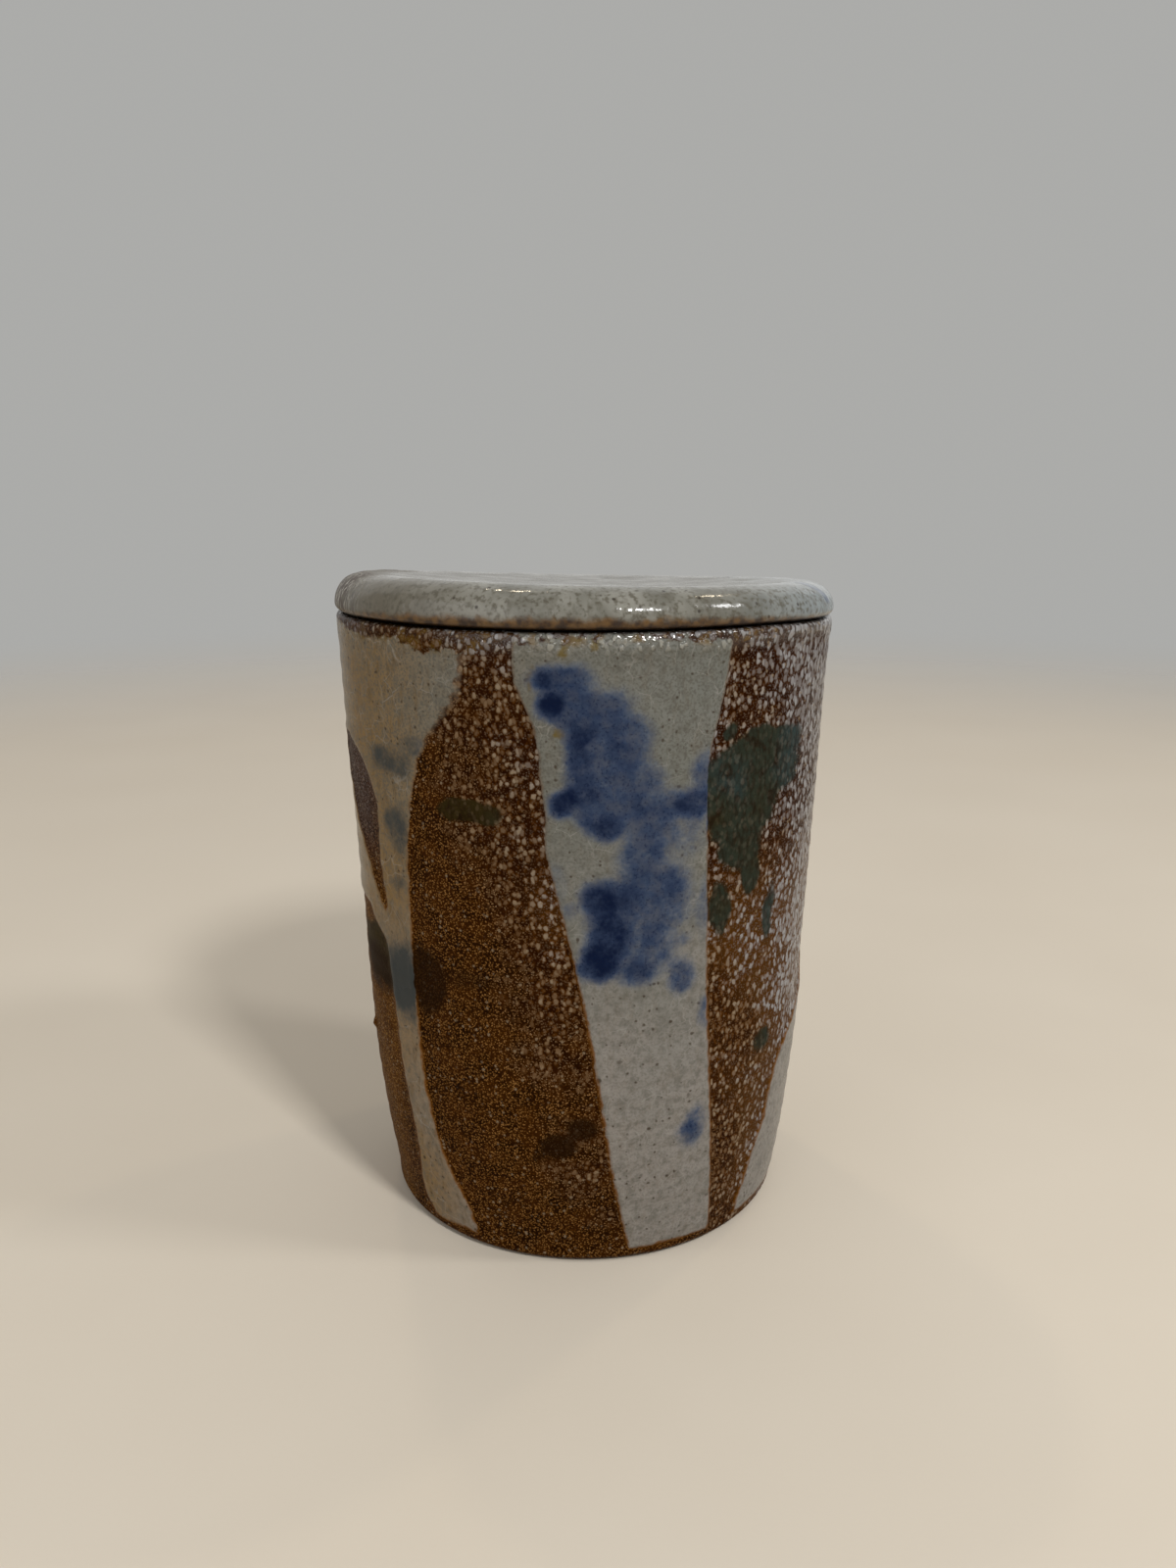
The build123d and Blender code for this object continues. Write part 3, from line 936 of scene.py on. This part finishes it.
def round_pot(azimuth, values):
    """Value at each azimuth, from a table by degrees."""
    return np.interp(np.degrees(azimuth), list(values), list(values.values()))


def rim_dip(azimuth):
    """How far the hand-thrown rim lies below level: it dips at the right."""
    return -RIM_DIP * smooth_step(np.abs(np.degrees(azimuth) - RIM_DIP_MIDDLE), *RIM_DIP_ENDS)


def joined(parts):
    """Stations of parts in turn, and the material of each band between them."""
    stations = [station for part, _ in parts for station in part]
    materials = [material for part, material in parts for _ in part]
    return np.array(stations), materials[1:]


def pot_section():
    """Stations (radius, height) from the middle of the base up the outside, over the rim and down to the
    floor, the materials of their bands, and how many stations are outside."""
    base_edge = (float(wall_radius(0.0)) - FOOT_ROUND, 0.0)
    wall_start = (float(wall_radius(FOOT_ROUND)), FOOT_ROUND)
    wall_end_height = RIM_HEIGHT - RIM_ROUND
    base = [(base_edge[0] * share, 0.0) for share in BASE_SHARES]
    foot = arc(base_edge, wall_start, FOOT_STEPS, from_flat=True)
    heights = np.linspace(FOOT_ROUND, wall_end_height, OUTSIDE_ROWS)[1:]
    outside = [(float(wall_radius(height)), height) for height in heights]
    mouth = RIM_RADIUS - WALL
    rim_outer = arc(outside[-1], (RIM_RADIUS - RIM_TUCK, RIM_HEIGHT), RIM_STEPS, from_flat=False)
    seat = [(mouth + RIM_ROUND, RIM_HEIGHT)]
    rim_inner = arc(seat[-1], (mouth, RIM_HEIGHT - RIM_ROUND), MOUTH_STEPS, from_flat=True)
    inner_heights = np.linspace(wall_end_height, FLOOR + FLOOR_CORNER, INSIDE_ROWS)[1:]
    inside = [(float(wall_radius(height)) - WALL, height) for height in inner_heights]
    corner = arc(inside[-1], (inside[-1][0] - FLOOR_CORNER, FLOOR), CORNER_STEPS, from_flat=False)
    floor = [(corner[-1][0] * share, FLOOR) for share in FLOOR_SHARES]
    outer_parts = [(base, BARE), (foot, GLAZED), (outside, GLAZED), (rim_outer, GLAZED)]
    inner_parts = [(seat, BARE), (rim_inner, LINED), (inside, LINED), (corner, LINED), (floor, LINED)]
    outside_count = sum(len(part) for part, _ in outer_parts)
    return *joined(outer_parts + inner_parts), outside_count


def inside_any(azimuth, height, shapes):
    """Distance inside whichever outline a place is deepest in, in metres; negative outside them all."""
    return np.max([inside_distance(azimuth, height, shape) for shape in shapes], axis=0)


def facet_relief(shallow, deep):
    """Facets are cut into the wall, and the slip stands up as a lip along their edges."""
    cut = np.maximum(FACET_DEPTH * smooth_step(shallow, -0.3 * FACET_SHOULDER, 0.7 * FACET_SHOULDER),
                     DEEP_FACET_DEPTH * smooth_step(deep, -0.2 * FACET_SHOULDER, 1.4 * FACET_SHOULDER))
    lip = LIP_HEIGHT * np.exp(-((np.maximum(shallow, deep) + LIP_OFFSET) / LIP_WIDTH) ** 2)
    return lip - cut


def throwing_rings(azimuth, along, ridge, pitch):
    """Ridges left by throwing, repeated along a distance; with an azimuth they make a spiral."""
    return ridge * np.sin(along / pitch * 2 * np.pi + azimuth)


def glaze_roll(azimuth, height, plain):
    """Thick glaze in a roll under the rim."""
    full = smooth_step(height, *ROLL_START) * smooth_step(height, *ROLL_END)
    return round_pot(azimuth, GLAZE_ROLL_MM) * MM * full * (0.7 + waves(plain, ROLL_WAVES))


def grit_lump(azimuth, radius, height):
    """One lump of grit under the glaze."""
    turn, level = seen(*GRIT_LUMP)
    away = np.hypot((azimuth - turn) * radius, height - level)
    return GRIT_LUMP_HEIGHT * np.exp(-((away / GRIT_LUMP_SIZE) ** 2))


def wall_relief(azimuth, radius, height, plain, facets):
    """How far the outside of the wall stands out from its plain turned form, and the same inside."""
    fade = smooth_step(height, *FOOT_FADE) * smooth_step(height, *RIM_FADE)
    rings = throwing_rings(azimuth, height, *OUTER_RINGS)
    outer = fade * (facets + waves(plain, WALL_WAVES) + rings)
    outer = outer + glaze_roll(azimuth, height, plain) + grit_lump(azimuth, radius, height)
    inner = smooth_step(height, *INSIDE_FADE) * fade * throwing_rings(azimuth, height, *INNER_RINGS)
    return outer, inner


def stains(azimuth, height, plain, clay):
    """Strength of cobalt, iron and ochre at each place; the edges of the stains wander."""
    turn = azimuth + waves(plain, STAIN_WAVES_ACROSS) / BELLY_RADIUS
    level = height + waves(plain, STAIN_WAVES_UP)
    on_slip = splash_strength(turn, level, SLIP_SPLASHES)
    on_clay = splash_strength(turn, level, CLAY_SPLASHES)
    on_back = splash_strength(turn, level, BACK_SPLASHES)
    return {
        "cobalt": np.maximum(np.where(clay > 0.0, on_clay, on_slip), on_back),
        "iron": splash_strength(turn, level, IRON_SPLASHES),
        "ochre": splash_strength(turn, level, OCHRE_SPLASHES),
    }


def salt_caught(azimuth, height, plain, breaking):
    """How much salt the clay caught: more towards the rim, in patches, and most on the right."""
    degrees = np.degrees(azimuth)
    right = smooth_step(degrees, *SALT_RIGHT_START) * smooth_step(degrees, *SALT_RIGHT_END)
    fall = SALT_FALL - SALT_FALL_LESS * right
    salt = round_pot(azimuth, SALT_ROUND) + fall * (height / RIM_HEIGHT - SALT_MIDDLE)
    return np.clip(salt + waves(plain, SALT_WAVES) + 0.2 * breaking, 0.0, SALT_MOST)


def make_pot():
    stations, band_materials, outside_count = pot_section()
    azimuth, radius, height = turned_grid(stations, POT_COLUMNS)
    plain = on_wall(azimuth, radius, height)
    shallow = inside_any(azimuth, height, SHALLOW_FACETS)
    deep = inside_any(azimuth, height, DEEP_FACETS)
    foot_band = FOOT_BAND - height + waves(plain, BAND_WAVES)
    clay = np.max([shallow, deep, foot_band], axis=0)
    band = round_pot(azimuth, BREAK_BAND_MM) * MM * (1.0 + waves(plain, BREAK_WAVES))
    breaking = smooth_step(height, RIM_HEIGHT - band, RIM_HEIGHT - 0.3 * band)
    breaking = round_pot(azimuth, BREAK_STRENGTH) * breaking

    outer, inner = wall_relief(azimuth, radius, height, plain, facet_relief(shallow, deep))
    outside = np.arange(len(stations))[:, None] < outside_count
    dip = rim_dip(azimuth) * smooth_step(height, *RIM_DIP_RISE)
    points = on_wall(azimuth, radius + np.where(outside, outer, inner), height + dip)
    pot = turned_mesh("pot_glazed_body", points, band_materials, [WALL_GLAZE, LINER_GLAZE, BARE_CLAY])
    add_attributes(pot, {
        "clay_mm": clay / MM,
        "seat": smooth_step(height, *SEAT_SHADE),
        "salt": salt_caught(azimuth, height, plain, breaking),
        "breaking": breaking,
        "blush_and_warm_light": round_pot(azimuth, BLUSH_AND_WARM_LIGHT_ROUND) * (1.0 + waves(plain, BLUSH_AND_WARM_LIGHT_WAVES)),
        **stains(azimuth, height, plain, clay),
    })
    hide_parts("pot_body")
    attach(pot, "pot")


# The lid: columns and steps of its mesh, and rings across its underside and seat
LID_COLUMNS = 320
FLANGE_WALL_STEPS = 6
FLANGE_ROUND_STEPS = 4
LOWER_ROLL_STEPS = 8
UPPER_ROLL_STEPS = 16
DISH_RINGS = 40
UNDER_SHARES = (0.0, 0.3, 0.6, 0.85, 0.96, 1.0)
SEAT_SHARES = (0.33, 0.66, 1.0)

# Relief of the lid: lumps, bumps that are strongest at the rough end, rings on top, and a wavering roll
LUMP_WAVES = [(0.10 * MM, 9.0 * MM, 11)]
BUMP_WAVES = [(0.06 * MM, 3.0 * MM, 12)]
TOP_RINGS = (0.05 * MM, 5.0 * MM)
EDGE_WAVES = [(0.12 * MM, 14.0 * MM, 13)]
EDGE_DRAW_IN = 0.1 * MM

# Radii on the lid where things start and end
EDGE_START = (LID_RADIUS - 9.0 * MM, LID_RADIUS - 3.0 * MM)
ROUGH_START = (CREST_RADIUS - 6.0 * MM, CREST_RADIUS + 1.0 * MM)
BLUE_START = (CREST_RADIUS - 7.0 * MM, CREST_RADIUS + 3.0 * MM)
DISH_START = (CREST_RADIUS, CREST_RADIUS - 5.0 * MM)

# Rough end at the left and blue brush mark at the right, at azimuths in degrees, and the height of the wear
ROUGH_FRONT = (-52.0, -68.0)
ROUGH_BACK = (-125.0, -110.0)
BLUE_MIDDLE = 70.0
BLUE_LEAN = 5.0
BLUE_WAVES = [(1.2, 2.5 * MM, 16)]
BLUE_EDGES = (4.5, 0.3)
BLUE_TAPER = (0.0, 0.4)
WORN_ROUND = {-180: 1.2, -90: 0.6, -60: 0.9, -35: 1.9, 0: 1.9, 35: 1.3, 60: 0.5, 100: 0.6, 180: 1.2}


def lid_section():
    """Stations (radius, height, rise) from the middle of the underside round the flange and roll to the top,
    and the materials of their bands. Rise is the share of the crest's height that is added."""
    flange_low = LID_LOW.z
    flange_straight = flange_low + FLANGE_ROUND
    widest = RIM_HEIGHT + LID_LOWER_ROUND
    wall_heights = np.linspace(RIM_HEIGHT, flange_straight, FLANGE_WALL_STEPS)
    under = [(FLANGE_INNER * share, RIM_HEIGHT) for share in UNDER_SHARES]
    inner_wall = [(FLANGE_INNER, height) for height in wall_heights[1:]]
    inner_end = (FLANGE_INNER + FLANGE_ROUND, flange_low)
    inner_round = arc(inner_wall[-1], inner_end, FLANGE_ROUND_STEPS, from_flat=False)
    bottom = [(FLANGE_OUTER - FLANGE_ROUND, flange_low)]
    outer_start = (FLANGE_OUTER, flange_straight)
    outer_round = arc(bottom[-1], outer_start, FLANGE_ROUND_STEPS, from_flat=True)
    outer_wall = [(FLANGE_OUTER, height) for height in wall_heights[-2::-1]]
    seat_end = (LID_RADIUS - LID_LOWER_TUCK, RIM_HEIGHT)
    seat = [(FLANGE_OUTER + (seat_end[0] - FLANGE_OUTER) * share, RIM_HEIGHT) for share in SEAT_SHARES]
    lower_roll = arc(seat_end, (LID_RADIUS, widest), LOWER_ROLL_STEPS, from_flat=True)
    flange = inner_wall + inner_round + bottom + outer_round + outer_wall
    roll = [(CREST_RADIUS + LID_ROLL_WIDTH * np.cos(turn), widest, np.sin(turn))
            for turn in np.linspace(0.0, np.pi / 2, UPPER_ROLL_STEPS + 1)[1:]]
    dish_radius = CREST_RADIUS - CREST_LAND
    dish = [(dish_radius * share, widest - DISH_DEPTH * (1.0 - share ** 2), 1.0)
            for share in np.linspace(1.0, 0.0, DISH_RINGS)]
    low_parts = [(under, LINED), (flange + seat, BARE), (lower_roll, GLAZED)]
    level_parts = [([(*station, 0.0) for station in part], material) for part, material in low_parts]
    return joined(level_parts + [(roll + dish, GLAZED)])


def crest_height(across, away):
    """Height of the hand-made crest over the rim: it falls to the back and right, and is a little twisted."""
    across = across / CREST_RADIUS
    away = away / CREST_RADIUS
    twist = LID_TWIST * (across ** 2 - away ** 2)
    return LID_CREST_HEIGHT - LID_FALL_RIGHT * across - LID_FALL_BACK * away + twist


def rough_end(azimuth, radius):
    """Share of roughness at the lid's left end."""
    degrees = np.degrees(azimuth)
    along = smooth_step(degrees, *ROUGH_FRONT) * smooth_step(degrees, *ROUGH_BACK)
    return along * smooth_step(radius, *ROUGH_START)


def brush_mark(azimuth, radius, rise, plain):
    """Share of blue in the brush mark over the roll."""
    middle = BLUE_MIDDLE - BLUE_LEAN * rise + waves(plain, BLUE_WAVES)
    taper = smooth_step(rise, *BLUE_TAPER) * smooth_step(radius, *BLUE_START)
    return smooth_step(np.abs(np.degrees(azimuth) - middle), *BLUE_EDGES) * taper


def make_lid():
    stations, band_materials = lid_section()
    azimuth, radius, height, rise = turned_grid(stations, LID_COLUMNS)
    plain = on_wall(azimuth, radius, height)
    rough = rough_end(azimuth, radius)
    lumps = waves(plain, LUMP_WAVES) + waves(plain, BUMP_WAVES) * (0.3 + rough)
    rings = throwing_rings(0.0, radius, *TOP_RINGS)
    lift = rise * (crest_height(plain[..., 0], plain[..., 1]) - LID_LOWER_ROUND + lumps + rings)
    on_roll = smooth_step(height, RIM_HEIGHT, RIM_HEIGHT + LID_LOWER_ROUND)
    on_roll = on_roll * smooth_step(radius, *EDGE_START)
    push = on_roll * (waves(plain, EDGE_WAVES) - EDGE_DRAW_IN)
    dip = rim_dip(azimuth) * (1.0 - rise) * smooth_step(radius, 0.5 * LID_RADIUS, FLANGE_INNER)
    points = on_wall(azimuth, radius + push, height + lift + dip)
    lid = turned_mesh("lid_glazed", points, band_materials, [LID_GLAZE, LINER_GLAZE, BARE_CLAY])
    add_attributes(lid, {
        "edge_mm": (height + lift - RIM_HEIGHT) / MM,
        "worn_mm": round_pot(azimuth, WORN_ROUND),
        "blue": brush_mark(azimuth, radius, rise, plain),
        "rough_end": rough,
        "dished": rise * smooth_step(radius, *DISH_START),
    })
    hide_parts("lid")
    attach(lid, "lid")


make_pot()
make_lid()

# Floor, light and camera. A lamp has a place, a target, a size, a power in watts and a tint.
FLOOR_SIZE = 4.0
FLOOR_CLEAR = 0.45
FLOOR_GONE = 1.1
BACKGROUND = (0.41, 0.41, 0.398, 1.0)
WORLD_FRONT = (0.2, 0.2, 0.2, 1.0)
WORLD_BACK = (0.4, 0.4, 0.4, 1.0)
WHITE_LIGHT = (1.0, 1.0, 1.0)
WARM_LIGHT = (1.0, 0.84, 0.62)
POT_MIDDLE = (0.0, 0.0, 0.06)
LID_MIDDLE = (0.0, 0.0, 0.12)
KEY_SIZE = (0.13, 0.18)
SPARK_SIZE = (0.06, 0.06)
FILL_SIZE = (1.3, 0.9)
BACK_SIZE = (2.2, 1.4)
LAMPS = [
    ("key", (0.40, -0.68, 0.82), POT_MIDDLE, KEY_SIZE, 6.6, WHITE_LIGHT),
    ("side", (0.75, -0.18, 0.75), POT_MIDDLE, KEY_SIZE, 2.4, WHITE_LIGHT),
    ("spark_left", (-0.25, 0.59, 1.25), LID_MIDDLE, SPARK_SIZE, 0.8, WARM_LIGHT),
    ("spark_right", (0.58, 0.48, 1.21), LID_MIDDLE, SPARK_SIZE, 0.8, WARM_LIGHT),
    ("fill", (-0.8, -0.6, 0.45), POT_MIDDLE, FILL_SIZE, 4.2, WHITE_LIGHT),
    ("back", (-0.2, 0.9, 0.7), POT_MIDDLE, BACK_SIZE, 3.0, WHITE_LIGHT),
]


def make_floor():
    """Plain pale sheet under the pot, fading into the background far from it."""
    half = FLOOR_SIZE / 2
    corners = [(-half, -half, 0), (half, -half, 0), (half, half, 0), (-half, half, 0)]
    mesh = bpy.data.meshes.new("floor")
    mesh.from_pydata(corners, [], [(0, 1, 2, 3)])
    s = Shader("floor_paint", specular=0.15)
    shade = s.noise(60.0, 3.0).mix(FLOOR_TAN, FLOOR_PALE)
    s.finish(shade, s.noise(30.0).ramp(0.3, 0.7, 0.6, 0.7), s.noise(1.0) * 0.02)
    reach = s.add("VectorMath", {0: s.place}, "Value", operation="LENGTH")
    faded = reach.ramp(FLOOR_CLEAR / MM, FLOOR_GONE / MM)
    paint = Value(s, s.surface.outputs[0])
    both = s.add("MixShader", {0: faded, 1: paint, 2: s.add("BsdfTransparent", {}, 0)}, 0)
    s.join(both, s.tree.nodes["Material Output"].inputs["Surface"])
    mesh.materials.append(s.material)
    floor = add_object("floor", mesh)


def make_world():
    """Even light, stronger from the back. The camera and reflections see the plain background instead."""
    world = bpy.data.worlds.new("studio")
    bpy.context.scene.world = world
    world.use_nodes = True
    nodes = Nodes(world.node_tree)
    backwards = nodes.add("SeparateXYZ", {0: nodes.add("TexCoord", {}, "Generated")}, "Y")
    share = nodes.add("MapRange", {"Value": backwards, "From Min": -0.5, "From Max": 0.8}, 0)
    light = share.mix(WORLD_FRONT, WORLD_BACK)
    seen_rays = nodes.add("LightPath", {}, "Is Camera Ray")
    mirrored = seen_rays.beside("Is Glossy Ray").most(seen_rays.beside("Is Transmission Ray"))
    background = nodes.tree.nodes["Background"].inputs
    nodes.join(1.0, background["Strength"])
    nodes.join(seen_rays.most(mirrored).mix(light, BACKGROUND), background["Color"])


def soft_box(name, place, target, size, power, tint):
    """Rectangular lamp at a place, facing a target."""
    lamp = bpy.data.lights.new(name, "AREA")
    lamp.color = tint
    lamp.shape = "RECTANGLE"
    lamp.size, lamp.size_y = size
    lamp.energy = power
    holder = add_object(name, lamp)
    holder.location = place
    aim = np.array(target) - np.array(place)
    yaw = math.atan2(-aim[0], aim[1])
    pitch = math.atan2(aim[2], math.hypot(aim[0], aim[1]))
    holder.rotation_euler = (math.pi / 2 + pitch, 0.0, yaw)


def make_camera():
    """The photograph's camera; its sensor's width lies along the longer side of the frame."""
    camera = bpy.data.cameras.new("photo_camera")
    camera.sensor_width = SENSOR_MM
    camera.lens = FOCAL * SENSOR_MM / FRAME_HEIGHT
    camera.clip_start = 0.01
    holder = add_object("photo_camera", camera)
    holder.location = CAMERA_PLACE
    holder.rotation_euler = (math.pi / 2 - CAMERA_TILT, 0.0, 0.0)
    bpy.context.scene.camera = holder


make_floor()
make_world()
make_camera()
for lamp_values in LAMPS:
    soft_box(*lamp_values)
bpy.context.scene.view_settings.view_transform = "Standard"
